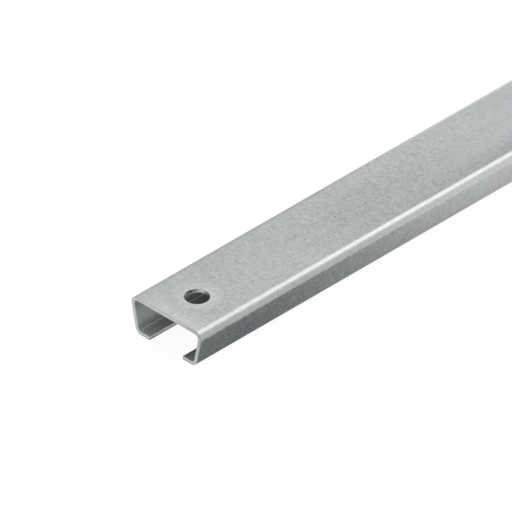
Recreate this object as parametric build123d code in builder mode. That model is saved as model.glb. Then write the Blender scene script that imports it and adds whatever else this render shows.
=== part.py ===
# Anchor channel: a cold-rolled C section in galvanised strip that lies slot down, with a fixing hole near each end.
# The side walls lean in towards the slot, so the back is wider than the mouth and the section keys into concrete.
# X runs across the channel, Y along it and Z up. The origin is the middle of the base that the channel lies on.

from build123d import *

import os
from math import radians, tan

# Section, in millimetres and degrees
channel_length = 300.0
channel_width = 34.0  # over the upper bends, where the section is widest
channel_height = 15.0
strip_thickness = 1.5
inner_bend_radius = 1.5
wall_lean = 12.0  # of each side wall, from upright
slot_width = 16.0  # between the free edges of the lips
slit_edge_radius = 0.2  # on the corners of those free edges

# Fixing holes through the back
hole_diameter = 9.0
hole_end_distance = 15.0  # from the end of the channel to the middle of the hole
hole_rim_radius = 0.1  # where the punch drew the strip in

outer_bend_radius = inner_bend_radius + strip_thickness
hole_spacing = channel_length - 2 * hole_end_distance

# Sharp corners of the outer face, in the plane of X and Z. The bends cut them off, and the upper bends are what
# reaches the full width, so the upper corners lie a little past it.
past_the_bend = outer_bend_radius * (tan(radians(90 + wall_lean) / 2) - 1)
upper_corner = Vector(channel_width / 2 + past_the_bend, channel_height)
lower_corner = Vector(upper_corner.X - channel_height * tan(radians(wall_lean)), 0)
free_edge = Vector(slot_width / 2, 0)

right_half = [upper_corner, lower_corner, free_edge]
left_half = [Vector(-corner.X, corner.Y) for corner in reversed(right_half)]

with BuildPart() as channel:
    with BuildSketch(Plane.XZ) as section:
        with BuildLine():
            FilletPolyline(left_half + right_half, radius=outer_bend_radius)
            offset(amount=strip_thickness, side=Side.RIGHT)
        make_face()
        slit_edges = section.edges().filter_by(GeomType.LINE).sort_by(Edge.length)[:2]
        fillet(slit_edges.vertices(), radius=min(slit_edge_radius, 0.4 * strip_thickness))
    extrude(amount=channel_length / 2, both=True)

    with Locations((0, 0, channel_height)):
        with GridLocations(0, hole_spacing, 1, 2):
            Hole(radius=hole_diameter / 2, depth=2 * strip_thickness)
    back = channel.faces().sort_by(Axis.Z)[-1]
    fillet(back.inner_wires().edges(), radius=min(hole_rim_radius, 0.4 * strip_thickness))

channel.part.label = "anchor_channel"

os.makedirs("parts", exist_ok=True)
export_step(channel.part, "parts/anchor_channel.step")
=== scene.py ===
"""The looks of the anchor channel: galvanised finish, broken edges, soft light and the photograph's view."""

import math

import bpy
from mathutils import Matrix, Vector


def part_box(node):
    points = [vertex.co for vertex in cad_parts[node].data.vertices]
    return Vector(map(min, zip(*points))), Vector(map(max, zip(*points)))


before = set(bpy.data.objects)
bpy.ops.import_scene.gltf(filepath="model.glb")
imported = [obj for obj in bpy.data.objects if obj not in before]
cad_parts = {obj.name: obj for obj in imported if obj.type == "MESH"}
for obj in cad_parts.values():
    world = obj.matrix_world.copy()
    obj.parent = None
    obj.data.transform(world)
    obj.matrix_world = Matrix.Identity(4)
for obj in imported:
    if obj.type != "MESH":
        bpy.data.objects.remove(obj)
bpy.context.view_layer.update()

NODE = "anchor_channel"
MM = 0.001
LOW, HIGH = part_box(NODE)
NEAR_END = LOW.y
FAR_END = HIGH.y
BACK = HIGH.z

# The section, as distances out from the middle of the channel and up from its base
HALF_WIDTH = HIGH.x
STRIP = 1.5 * MM
OUTER_BEND = 3 * MM
SLOT_EDGE = 8 * MM
WALL_LEAN = math.radians(12)
HALF_CORNER = (math.radians(90) + WALL_LEAN) / 2  # half the angle between a wall and its lip
# Where the outer face of a wall, run on down, would meet the base
WALL_FOOT = HALF_WIDTH + OUTER_BEND * (math.tan(HALF_CORNER) - 1) - BACK * math.tan(WALL_LEAN)
UPPER_BEND = (HALF_WIDTH - OUTER_BEND, BACK - OUTER_BEND)  # the middles of the bends
LOWER_BEND = (WALL_FOOT - OUTER_BEND / math.tan(HALF_CORNER), OUTER_BEND)

# The middle of the strip's thickness
MID_BACK = BACK - STRIP / 2
MID_LIP = STRIP / 2
MID_BEND = OUTER_BEND - STRIP / 2  # a radius
MID_WALL_FOOT = WALL_FOOT - STRIP / 2 / math.cos(WALL_LEAN)

# What the inner side lies within, with some room for the facets of the bends
INNER_REACH = HALF_WIDTH - STRIP + 0.25 * MM
INNER_FLOOR = STRIP - 0.2 * MM
INNER_CEILING = BACK - STRIP + 0.15 * MM

HOLE_RADIUS = 4.5 * MM
HOLE_FROM_END = 15 * MM
BORE_REACH = HOLE_RADIUS + 0.03 * MM  # what lies nearer to a hole's middle is its wall

# The small radius that shearing leaves on a cut edge, less than on the slot's corners
EDGE_BREAK = 0.16 * MM

# The middle and half the length of a stretch of the back in painted shade, and of a streak of painted shade
# along its right edge
SHADED_STRETCH_AT = NEAR_END + 100 * MM
SHADED_STRETCH_REACH = 60 * MM
SHADE_STREAK_AT = NEAR_END + 175 * MM
SHADE_STREAK_REACH = 95 * MM

WARM_ZINC = (0.446, 0.465, 0.456)
COOL_ZINC = (0.441, 0.465, 0.472)
CUT_END = (0.455, 0.47, 0.462)
# A darker rim round the cut ends, in painted shade.
CUT_RIM_SHADE = (0.33, 0.345, 0.34)
WORN_EDGE = (0.4, 0.42, 0.415)
MEAN_TONE = 0.53
ZINC_ROUGHNESS = 0.33
WORN_ROUGHNESS = 0.45

# The photograph is a parallel view from above a corner, so a very long lens stands far back.
VIEW_AZIMUTH = math.radians(45)
VIEW_ELEVATION = math.radians(35.1)
LENS = 1600.0
SENSOR = 36.0
FRAME_WIDTH = 176.64 * MM  # what the frame takes in at the distance of the aimed point
AIM_FROM_NEAR_END = 46.48 * MM
AIM_ACROSS = -2.78 * MM

# Light levels. At 1 a white surface is just white, and bare zinc shows its own colour.
WHITE = 1.0
ROOM_LEVEL = 0.93
FLOOR_LEVEL = 1.01
HOLE_SHADE_LEVEL = 0.05
HOLE_SHADE_GAP = 0.1 * MM  # below the back

FLOOR_SIZE = 30.0
FLOOR_GAP = 0.02 * MM  # below the channel
FLOOR_COLOUR = (0.95, 0.95, 0.95)
FLOOR_PLAIN = 0.93  # the share of its look that is plain white, while the rest takes the shadow

# A wide soft lamp high above the channel
LAMP_LEVEL = 1.1
LAMP_TINT = (1.04, 1.0, 0.975)
LAMP_SIZE = (3.54, 5.4)
LAMP_AT = (0.91, 0, 3.6)
LAMP_TURN = math.radians(-11)
LAMP_SLIDE = 3.3  # along its own length, to the far side

# The cards that the metal mirrors
CARDS_OUT = 300 * MM
CARDS_TOP = 220 * MM
CARDS_LIFT = 0.1 * MM
CARDS_BEFORE = 300 * MM
CARDS_BEYOND = 900 * MM
CARD_SLANT = 0.7  # how far the dim part reaches further along for each step out
PALE_CARD = 29.5 * MM  # from here outwards the card is fully pale
COOL_TINT = (0.948, 1.0, 1.033)
FAR_TINT = (1.02, 1.0, 0.98)
FRONT_TINT = (0.99, 1.0, 0.99)
SLOT_TINT = (1.02, 1.0, 0.99)
PALE_TINT = (1.012, 1.0, 0.978)


class Graph:
    """A short way of writing a node tree. add() makes a node and sets or links its inputs."""

    def __init__(self, tree):
        self.tree = tree
        tree.nodes.clear()

    def add(self, kind, inputs=None, **settings):
        node = self.tree.nodes.new(kind)
        for name, value in settings.items():
            setattr(node, name, value)
        for name, value in (inputs or {}).items():
            self.feed(node.inputs[name], value)
        return node

    def feed(self, socket, value):
        if isinstance(value, bpy.types.NodeSocket):
            self.tree.links.new(value, socket)
        else:
            socket.default_value = value

    def maths(self, operation, first, second=0.0, third=0.0):
        return self.add("ShaderNodeMath", {0: first, 1: second, 2: third}, operation=operation).outputs[0]

    def chain(self, operation, values):
        result = values[0]
        for value in values[1:]:
            result = self.maths(operation, result, value)
        return result

    def total(self, *values):
        return self.chain("ADD", values)

    def product(self, *values):
        return self.chain("MULTIPLY", values)

    def absolute(self, value):
        return self.maths("ABSOLUTE", value)

    def other(self, share):
        """What a share leaves of 1."""
        return self.maths("SUBTRACT", 1.0, share)

    def apart(self, vector):
        return self.add("ShaderNodeSeparateXYZ", {0: vector}).outputs

    def spread(self, value, low, high, to_low=0.0, to_high=1.0):
        """Maps low to high onto to_low to to_high, with soft ends."""
        inputs = {"Value": value, "From Min": low, "From Max": high, "To Min": to_low, "To Max": to_high}
        return self.add("ShaderNodeMapRange", inputs, interpolation_type="SMOOTHSTEP").outputs[0]

    def choose(self, chosen, first, second):
        """The first value where chosen is 1, and the second where it is 0."""
        return self.spread(chosen, 0.0, 1.0, second, first)

    def sway(self, value, by):
        """Turns a noise about 0.5 into one about 0, times by."""
        inputs = {0: value, 1: by, 2: -0.5 * by}
        return self.add("ShaderNodeMath", inputs, operation="MULTIPLY_ADD").outputs[0]

    def blend(self, share, first, second):
        mix = self.add("ShaderNodeMix", data_type="RGBA")
        self.feed(mix.inputs["Factor"], share)
        for socket in mix.inputs:
            if socket.type == "RGBA":
                self.feed(socket, first if socket.name == "A" else second)
        return next(socket for socket in mix.outputs if socket.type == "RGBA")

    def noise(self, place, per_metre, detail=2.0, roughness=0.5, stretch=(1, 1, 1)):
        """Noise with so many features to the metre, drawn out along an axis where its stretch is over 1."""
        scale = [per_metre / s for s in stretch]
        laid = self.add("ShaderNodeMapping", {"Vector": place, "Scale": scale}).outputs[0]
        inputs = {"Vector": laid, "Scale": 1.0, "Detail": detail, "Roughness": roughness}
        return self.add("ShaderNodeTexNoise", inputs).outputs["Fac"]


def material(name):
    made = bpy.data.materials.new(name)
    made.use_nodes = True
    return made, Graph(made.node_tree)


def opaque(colour):
    return (*colour, 1.0)


def scaled(colour, by):
    return opaque([by * part for part in colour])


def finish(g, colour, roughness, normal=None):
    inputs = {"Base Color": colour, "Metallic": 1.0, "Roughness": roughness}
    if normal:
        inputs["Normal"] = normal
    shader = g.add("ShaderNodeBsdfPrincipled", inputs)
    g.add("ShaderNodeOutputMaterial", {"Surface": shader.outputs[0]})


def within(g, value, low, high):
    return g.product(g.maths("GREATER_THAN", value, low), g.maths("LESS_THAN", value, high))


def along_from_near(g, along, start, end, first, last):
    """Goes from first to last between two distances from the near end, which are in millimetres."""
    return g.spread(along, NEAR_END + start * MM, NEAR_END + end * MM, first, last)


class Where:
    """Where a shaded point lies, what it faces, and from 0 to 1 how far it is back, bore, wall and so on."""

    def __init__(self, g):
        coords = g.add("ShaderNodeTexCoord")
        self.place = coords.outputs["Object"]
        at = g.apart(self.place)
        self.across, self.along, self.height = at["X"], at["Y"], at["Z"]
        self.outward = g.absolute(self.across)
        self.from_end = g.maths("SUBTRACT", FAR_END, g.absolute(self.along))
        self.from_hole = self.find_hole(g)

        self.facing = g.apart(coords.outputs["Normal"])
        self.upward = self.facing["Z"]
        self.back = g.spread(self.upward, 0.9, 0.99)
        in_back = g.maths("GREATER_THAN", self.height, BACK - STRIP)
        self.bore = g.product(g.maths("LESS_THAN", self.from_hole, BORE_REACH), in_back)
        endways = g.spread(g.absolute(self.facing["Y"]), 0.75, 0.95)
        self.sheared = g.product(endways, g.other(self.bore))
        self.inner = self.find_inner_side(g)
        sideways = g.spread(self.upward, -0.18, 0.1, 1.0, 0.0)
        self.outer_wall = g.product(sideways, g.other(self.inner))

    def find_hole(self, g):
        """How far the point is from the middle of the fixing hole at its end, seen from above."""
        inward = g.maths("SUBTRACT", self.from_end, HOLE_FROM_END)
        away = g.add("ShaderNodeCombineXYZ", {"X": self.across, "Y": inward}).outputs[0]
        return g.add("ShaderNodeVectorMath", {0: away}, operation="LENGTH").outputs["Value"]

    def find_inner_side(self, g):
        """1 between the lips and the back, and 0 on the outer side and the cut ends."""
        wall = g.maths("MULTIPLY_ADD", self.height, math.tan(WALL_LEAN), MID_WALL_FOOT)
        between_walls = g.maths("LESS_THAN", self.outward, g.maths("MINIMUM", wall, INNER_REACH))
        between_faces = within(g, self.height, INNER_FLOOR, INNER_CEILING)
        return g.product(between_walls, between_faces, g.other(self.sheared))


def from_middle_of_strip(g, where):
    """How far a point of the cut end is from the middle of the strip's thickness."""
    outward, height = where.outward, where.height
    point = g.add("ShaderNodeCombineXYZ", {"X": outward, "Z": height}).outputs[0]

    # The tilted height is the same all along a line square to a wall.
    tilted = g.maths("MULTIPLY_ADD", outward, math.tan(WALL_LEAN), height)

    def tilted_at(bend):
        return bend[1] + bend[0] * math.tan(WALL_LEAN)

    def around(bend):
        middle = (bend[0], 0, bend[1])
        reach = g.add("ShaderNodeVectorMath", {0: point, 1: middle}, operation="DISTANCE").outputs["Value"]
        return g.absolute(g.maths("SUBTRACT", reach, MID_BEND))

    mid_wall = g.maths("MULTIPLY_ADD", height, math.tan(WALL_LEAN), MID_WALL_FOOT)
    wall = g.product(g.absolute(g.maths("SUBTRACT", outward, mid_wall)), math.cos(WALL_LEAN))
    back = g.absolute(g.maths("SUBTRACT", height, MID_BACK))
    lip = g.absolute(g.maths("SUBTRACT", height, MID_LIP))
    lip = g.maths("MAXIMUM", lip, g.maths("SUBTRACT", SLOT_EDGE + STRIP / 2, outward))
    upper = g.choose(g.maths("GREATER_THAN", tilted, tilted_at(UPPER_BEND)), around(UPPER_BEND), wall)
    upper = g.choose(g.maths("LESS_THAN", outward, UPPER_BEND[0]), back, upper)
    lower = g.choose(g.maths("LESS_THAN", tilted, tilted_at(LOWER_BEND)), around(LOWER_BEND), wall)
    lower = g.choose(g.maths("LESS_THAN", outward, LOWER_BEND[0]), lip, lower)
    return g.choose(g.maths("GREATER_THAN", height, BACK / 2), upper, lower)


def zinc_marks(g, place):
    """The marks that zinc is made of, from fine grain to broad clouds."""
    cells = g.add("ShaderNodeTexVoronoi", {"Vector": place, "Scale": 750.0, "Randomness": 1.0})
    return {
        "spangle": g.add("ShaderNodeSeparateColor", {0: cells.outputs["Color"]}).outputs[0],
        "mottle": g.noise(place, 800.0),
        "grain": g.noise(place, 2500.0, roughness=0.6),
        "cloud": g.noise(place, 60.0, detail=3.0, stretch=(1, 2, 1)),
        "rolled": g.noise(place, 1100.0, stretch=(1, 25, 1)),
        "drift": g.noise(place, 45.0),
        "patches": g.spread(g.noise(place, 200.0, detail=1.0), 0.35, 0.65, 0.3, 1.5),
        "flecks": g.spread(g.noise(place, 1900.0, detail=1.0, stretch=(1, 1.6, 1)), 0.6, 0.74),
    }


def fading_from(g, along, middle, reach, depth):
    """Depth at a place along the channel, fading to 0 on both sides of it."""
    return g.spread(g.absolute(g.maths("SUBTRACT", along, middle)), 0.0, reach, depth, 0.0)


def mark_strengths(g, where, shaded_stretch):
    """How strong the fine and the broad marks are: most on the outer walls near the ends, less far along."""
    mild_far = along_from_near(g, where.along, 110, 180, 1.0, 0.6)
    fine_on_wall = g.product(where.outer_wall, g.spread(where.from_end, 15 * MM, 110 * MM, 3.0, 0.3))
    broad_on_wall = g.product(where.outer_wall, g.spread(where.from_end, 60 * MM, 120 * MM, 0.9, 0.55))
    fine = g.total(0.9, g.product(where.back, g.product(shaded_stretch, -1.3)), fine_on_wall)
    broad = g.total(0.6, g.product(where.back, 0.4), broad_on_wall)
    return g.product(fine, mild_far), g.product(broad, mild_far)


def back_lighter_and_shaded(g, where, shaded_stretch):
    """What the back's tone gains at the ends and round the holes, and loses to painted shade along a stretch
    and a streak.
    """
    # Painted shade along the stretch, fading towards the left edge.
    stretch_shade = g.product(shaded_stretch, g.spread(where.across, -13 * MM, 3 * MM, 0.1, 1.0))
    # A streak of painted shade along the back's right edge, by the bend.
    shade_streak = fading_from(g, where.along, SHADE_STREAK_AT, SHADE_STREAK_REACH, -0.4)
    shade_streak = g.product(shade_streak, g.spread(where.across, 5 * MM, 14 * MM))
    # Lighter near the ends, less so towards the left edge.
    lighter_end = g.spread(where.from_end, 0.0, 11 * MM, 0.4, 0.0)
    lighter_end = g.product(lighter_end, g.spread(where.across, -14 * MM, -2 * MM, 0.3, 1.0))
    round_hole = g.spread(where.from_hole, HOLE_RADIUS, 2.4 * HOLE_RADIUS, 0.35, 0.0)
    lighter_end = g.maths("MAXIMUM", lighter_end, round_hole)
    return g.product(g.total(stretch_shade, shade_streak, lighter_end), where.back)


def zinc_tone(g, where, marks):
    """How light the zinc is, about one half, from its marks, from the lighter ends and hole surrounds, and
    from painted shade on the back.
    """
    # Painted shade along a stretch of the back.
    shaded_stretch = fading_from(g, where.along, SHADED_STRETCH_AT, SHADED_STRETCH_REACH, -0.2)
    fine, broad = mark_strengths(g, where, shaded_stretch)
    grit = g.total(g.sway(marks["grain"], 1.5), g.product(marks["flecks"], -0.3))
    clouds = g.total(
        g.sway(marks["mottle"], 0.6),
        g.sway(marks["cloud"], 0.3),
        g.sway(marks["rolled"], 0.15),
        g.sway(marks["spangle"], 0.2),
    )
    texture = g.total(g.product(grit, marks["patches"], fine), g.product(clouds, broad))
    return g.total(MEAN_TONE, texture, back_lighter_and_shaded(g, where, shaded_stretch))


def bore_painted_shade(g, where):
    """How light the wall of a fixing hole is beside plain zinc: painted shade darkens one side of it."""
    turned = g.total(where.facing["X"], where.facing["Y"])
    return g.choose(where.bore, g.spread(turned, 0.4, 0.95, 1.0, 0.42), 1.0)


def inner_painted_light(g, where):
    """How light the inner side is beside plain zinc, in painted light and shade.

    The left lip and its bend get painted light near the ends, and the walls painted shade high up.
    Further in, the lips get painted light and the rest painted shade. A painted highlight runs all along
    each lower bend.
    """
    upward = where.upward
    # Painted light on the left lip and its bend near the ends.
    lip_painted_light = g.spread(where.from_end, 8 * MM, 24 * MM, 1.22, 1.0)
    lip_painted_light = g.spread(upward, 0.24, 0.4, 1.0, lip_painted_light)
    lip_painted_light = g.spread(where.across, -1 * MM, 1 * MM, lip_painted_light, 1.0)
    # Painted shade on the walls high up, but not on the back's underside.
    painted_shade_high_up = g.spread(where.height, 9 * MM, 12.5 * MM, 1.0, 0.7)
    painted_shade_high_up = g.spread(upward, -0.95, -0.7, 1.0, painted_shade_high_up)
    # Further in, painted light on the lips and painted shade elsewhere.
    painted_light_and_shade_further_in = g.spread(upward, 0.6, 1.0, 0.84, 1.35)
    painted_light_and_shade_further_in = g.spread(where.from_end, 18 * MM, 28 * MM, 1.0, painted_light_and_shade_further_in)
    # A painted highlight along each lower bend.
    painted_bend_highlight = g.spread(upward, 0.64, 0.78, 1.45, 1.0)
    painted_bend_highlight = g.spread(upward, 0.38, 0.6, 1.0, painted_bend_highlight)
    return g.choose(where.inner, g.product(lip_painted_light, painted_bend_highlight, painted_shade_high_up, painted_light_and_shade_further_in), 1.0)


def zinc_colour(g, where, marks):
    """Zinc between a warm and a cool grey, with painted cool light far along the back, and cut metal on the
    sheared ends.
    """
    # Painted cool light far along the back, added to the random drift of the zinc's tint.
    drift_and_painted_cool = g.product(where.back, along_from_near(g, where.along, 110, 200, -0.05, 0.8))
    drift_and_painted_cool = g.spread(g.total(marks["drift"], drift_and_painted_cool), 0.2, 0.9)
    zinc = g.blend(drift_and_painted_cool, opaque(WARM_ZINC), opaque(COOL_ZINC))
    level = g.spread(zinc_tone(g, where, marks), -0.5, 1.5, 0.6, 1.4)
    # The tone, times the painted shade in the holes' walls and the painted light and shade inside.
    level = g.product(level, bore_painted_shade(g, where), inner_painted_light(g, where))
    painted = g.add("ShaderNodeVectorMath", {0: zinc, "Scale": level}, operation="SCALE").outputs[0]
    # Painted shade round the edge of each cut end.
    rim_shade = g.spread(from_middle_of_strip(g, where), 0.2 * MM, 0.45 * MM)
    return g.blend(where.sheared, painted, g.blend(rim_shade, opaque(CUT_END), opaque(CUT_RIM_SHADE)))


def zinc_roughness(g, where, marks):
    """Satin outside. Inside it is duller, most on the left lip, but glossier along the lower bends."""
    on_lip = g.spread(where.across, -5 * MM, 5 * MM, 0.24, 0.06)
    dullness = g.spread(where.upward, 0.35, 0.8, 0.14, -0.12)
    dullness = g.spread(where.upward, 0.8, 0.95, dullness, on_lip)
    unevenness = g.total(g.sway(marks["grain"], 0.16), g.sway(marks["mottle"], 0.1))
    return g.total(ZINC_ROUGHNESS, g.product(where.inner, dullness), unevenness)


def zinc_relief(g, marks):
    height = g.total(
        g.product(marks["grain"], 0.7), g.product(marks["mottle"], 2.0), g.product(marks["flecks"], -0.8))
    return g.add("ShaderNodeBump", {"Height": height, "Strength": 0.16, "Distance": 0.05 * MM}).outputs[0]


def galvanised():
    """Zinc as strip is dipped in it: soft mottling, fine spangle, short dark flecks and sheared ends."""
    made, g = material("galvanised_steel")
    where = Where(g)
    marks = zinc_marks(g, where.place)
    finish(g, zinc_colour(g, where, marks), zinc_roughness(g, where, marks), zinc_relief(g, marks))
    return made


def worn_edge():
    """The broken edges, where the shear tore the zinc and left duller, darker metal."""
    made, g = material("worn_edge")
    place = g.add("ShaderNodeTexCoord").outputs["Object"]
    painted = g.blend(g.noise(place, 900.0), scaled(WORN_EDGE, 0.8), scaled(WORN_EDGE, 1.2))
    finish(g, painted, WORN_ROUGHNESS)
    return made


def break_edges(channel, slot):
    """Rounds every cut edge a little. The facets of the bends turn by too little to be rounded too."""
    weld = channel.modifiers.new("weld", "WELD")
    weld.merge_threshold = 0.001 * MM
    merge = channel.modifiers.new("flat_faces", "DECIMATE")
    merge.decimate_type = "DISSOLVE"
    merge.angle_limit = math.radians(0.5)
    bevel = channel.modifiers.new("edge_break", "BEVEL")
    bevel.width = EDGE_BREAK
    bevel.segments = 3
    bevel.limit_method = "ANGLE"
    bevel.angle_limit = math.radians(50)
    bevel.use_clamp_overlap = False
    bevel.harden_normals = True
    bevel.material = slot


def dress(channel):
    zinc = galvanised()
    for slot in channel.material_slots:
        slot.material = zinc
    channel.data.materials.append(worn_edge())
    break_edges(channel, len(channel.material_slots) - 1)


def shows_white(g):
    """1 for what the camera sees, directly, in metal or through glass, and 0 for the light on things."""
    rays = g.add("ShaderNodeLightPath")
    mirrored = g.maths("MAXIMUM", rays.outputs["Is Glossy Ray"], rays.outputs["Is Transmission Ray"])
    return g.maths("MAXIMUM", rays.outputs["Is Camera Ray"], mirrored)


def one_sided(g, shader):
    """Shows the shader on the side that a face points to, and nothing on its other side."""
    behind = g.add("ShaderNodeNewGeometry").outputs["Backfacing"]
    clear = g.add("ShaderNodeBsdfTransparent")
    mixed = g.add("ShaderNodeMixShader", {0: behind, 1: shader.outputs[0], 2: clear.outputs[0]})
    g.add("ShaderNodeOutputMaterial", {"Surface": mixed.outputs[0]})


def lay_floor():
    """A pale floor, white with a faint shadow. From below it is clear, so the channel's underside shows."""
    bpy.ops.mesh.primitive_plane_add(size=FLOOR_SIZE, location=(0, 0, -FLOOR_GAP))
    floor = bpy.context.object
    floor.name = "floor"
    made, g = material("floor")
    lit = g.add("ShaderNodeBsdfDiffuse", {"Color": opaque(FLOOR_COLOUR)})
    plain = g.add("ShaderNodeEmission", {"Strength": FLOOR_LEVEL})
    share = g.product(shows_white(g), FLOOR_PLAIN)
    above = g.add("ShaderNodeMixShader", {0: share, 1: lit.outputs[0], 2: plain.outputs[0]})
    one_sided(g, above)
    floor.data.materials.append(made)


def slot_card_level(g, outward, inside):
    """The card's level under the channel, as the inner side sees it through the slot."""
    level = g.spread(inside, 4 * MM, 30 * MM, 1.1, 0.8)
    return g.spread(outward, 6.6 * MM, 7.8 * MM, level, 0.22)


def card_level(g, across, along):
    """Dim at the channel's foot, paler further out and further along, and bright before the near end."""
    outward = g.absolute(across)
    run = g.maths("SUBTRACT", along, g.product(outward, CARD_SLANT))
    foot = along_from_near(g, run, 0, 155, 0.29, 0.76)
    beside = along_from_near(g, run, 8, 175, 0.275, 1.02)
    pale_left = along_from_near(g, run, 80, 150, 0.76, 1.31)
    pale_right = along_from_near(g, run, 10, 180, 0.89, 1.29)
    pale = g.spread(across, -1 * MM, 1 * MM, pale_left, pale_right)
    dim_until = along_from_near(g, run, 40, 160, 27.5 * MM, 21 * MM)
    level = g.spread(outward, 14.5 * MM, 21 * MM, foot, beside)
    level = g.spread(outward, dim_until, PALE_CARD, level, pale)

    inside = g.maths("SUBTRACT", FAR_END, g.absolute(along))
    under = g.product(g.spread(outward, 10 * MM, 11.5 * MM, 1.0, 0.0), g.spread(inside, -1 * MM, 0.0))
    level = g.choose(under, slot_card_level(g, outward, inside), level)

    front = g.spread(across, -12 * MM, 3 * MM, 1.23, 0.83)
    front = along_from_near(g, along, -13, -4, front, 1.15)
    return along_from_near(g, along, -0.7, 0.3, front, level)


def card_tint(g, across, along):
    """The dim part is a cool grey beside the near end, and the rest is neutral or slightly warm."""
    outward = g.absolute(across)
    tint = g.blend(along_from_near(g, along, 0, 190, 0.0, 1.0), opaque(COOL_TINT), opaque(FAR_TINT))
    tint = g.blend(along_from_near(g, along, -1, 0, 0.0, 1.0), opaque(FRONT_TINT), tint)
    tint = g.blend(g.spread(outward, 10 * MM, 11.5 * MM), opaque(SLOT_TINT), tint)
    return g.blend(g.spread(outward, 27.5 * MM, PALE_CARD), tint, opaque(PALE_TINT))


def reflected_cards():
    """Cards that only the metal sees: a wide strip under the channel that turns up on both sides."""
    right_half = [(CARDS_OUT, CARDS_LIFT), (CARDS_OUT, CARDS_TOP)]
    profile = [(-x, z) for x, z in reversed(right_half)] + right_half
    ends = (NEAR_END - CARDS_BEFORE, FAR_END + CARDS_BEYOND)
    corners = [(x, y, z) for y in ends for x, z in profile]
    row = len(profile)
    faces = [(i, i + 1, i + 1 + row, i + row) for i in range(row - 1)]
    mesh = bpy.data.meshes.new("cards")
    mesh.from_pydata(corners, [], faces)
    cards = bpy.data.objects.new("cards", mesh)
    bpy.context.collection.objects.link(cards)

    made, g = material("cards")
    at = g.apart(g.add("ShaderNodeTexCoord").outputs["Object"])
    look = {"Color": card_tint(g, at["X"], at["Y"]), "Strength": card_level(g, at["X"], at["Y"])}
    g.add("ShaderNodeOutputMaterial", {"Surface": g.add("ShaderNodeEmission", look).outputs[0]})
    mesh.materials.append(made)
    mirror_only(cards)


def mirror_only(card):
    """Hides a card from everything but reflections in metal."""
    for ray in ("camera", "diffuse", "shadow", "transmission", "volume_scatter"):
        setattr(card, "visible_" + ray, False)


def shade_holes():
    """Dark cards under the holes, facing down, so that the lips don't mirror the room through them."""
    made, g = material("hole_shade")
    one_sided(g, g.add("ShaderNodeEmission", {"Strength": HOLE_SHADE_LEVEL}))
    for end, inward in ((NEAR_END, 1), (FAR_END, -1)):
        middle = (0, end + inward * HOLE_FROM_END, BACK - STRIP - HOLE_SHADE_GAP)
        bpy.ops.mesh.primitive_circle_add(
            radius=HOLE_RADIUS, fill_type="NGON", location=middle, rotation=(math.pi, 0, 0))
        card = bpy.context.object
        card.name = "hole_shade"
        card.data.materials.append(made)
        mirror_only(card)


def hang_lamp():
    """The lamp faces the channel, is turned about the vertical, and is then slid along its own length."""
    lamp = bpy.data.lights.new("overhead", "AREA")
    lamp.shape = "RECTANGLE"
    lamp.size, lamp.size_y = LAMP_SIZE
    lamp.color = LAMP_TINT
    lamp.energy = LAMP_LEVEL * math.pi * LAMP_SIZE[0] * LAMP_SIZE[1]
    box = bpy.data.objects.new("overhead", lamp)
    lengthwise = Vector((-math.sin(LAMP_TURN), math.cos(LAMP_TURN), 0))
    box.location = Vector(LAMP_AT) + LAMP_SLIDE * lengthwise
    box.rotation_euler = (0, math.atan2(LAMP_AT[0], LAMP_AT[2]), LAMP_TURN)
    bpy.context.collection.objects.link(box)


def fill_room():
    """An even white room, a little dimmer in the light that it gives than in what the camera sees of it."""
    world = bpy.data.worlds.new("room")
    bpy.context.scene.world = world
    world.use_nodes = True
    g = Graph(world.node_tree)
    level = g.choose(shows_white(g), WHITE, ROOM_LEVEL)
    room = g.add("ShaderNodeBackground", {"Color": (1, 1, 1, 1), "Strength": level})
    g.add("ShaderNodeOutputWorld", {"Surface": room.outputs[0]})


def place_camera():
    data = bpy.data.cameras.new("camera")
    data.lens = LENS
    data.sensor_width = SENSOR
    camera = bpy.data.objects.new("camera", data)
    bpy.context.collection.objects.link(camera)
    towards_camera = Vector((
        math.sin(VIEW_AZIMUTH) * math.cos(VIEW_ELEVATION),
        -math.cos(VIEW_AZIMUTH) * math.cos(VIEW_ELEVATION),
        math.sin(VIEW_ELEVATION),
    ))
    aim = Vector((AIM_ACROSS, NEAR_END + AIM_FROM_NEAR_END, BACK))
    distance = FRAME_WIDTH * LENS / SENSOR
    camera.location = aim + towards_camera * distance
    camera.rotation_euler = towards_camera.to_track_quat("Z", "Y").to_euler()
    data.clip_start = 0.1 * distance
    data.clip_end = 3 * distance
    bpy.context.scene.camera = camera


bpy.context.scene.view_settings.view_transform = "Standard"
dress(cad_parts[NODE])
lay_floor()
reflected_cards()
shade_holes()
hang_lamp()
fill_room()
place_camera()
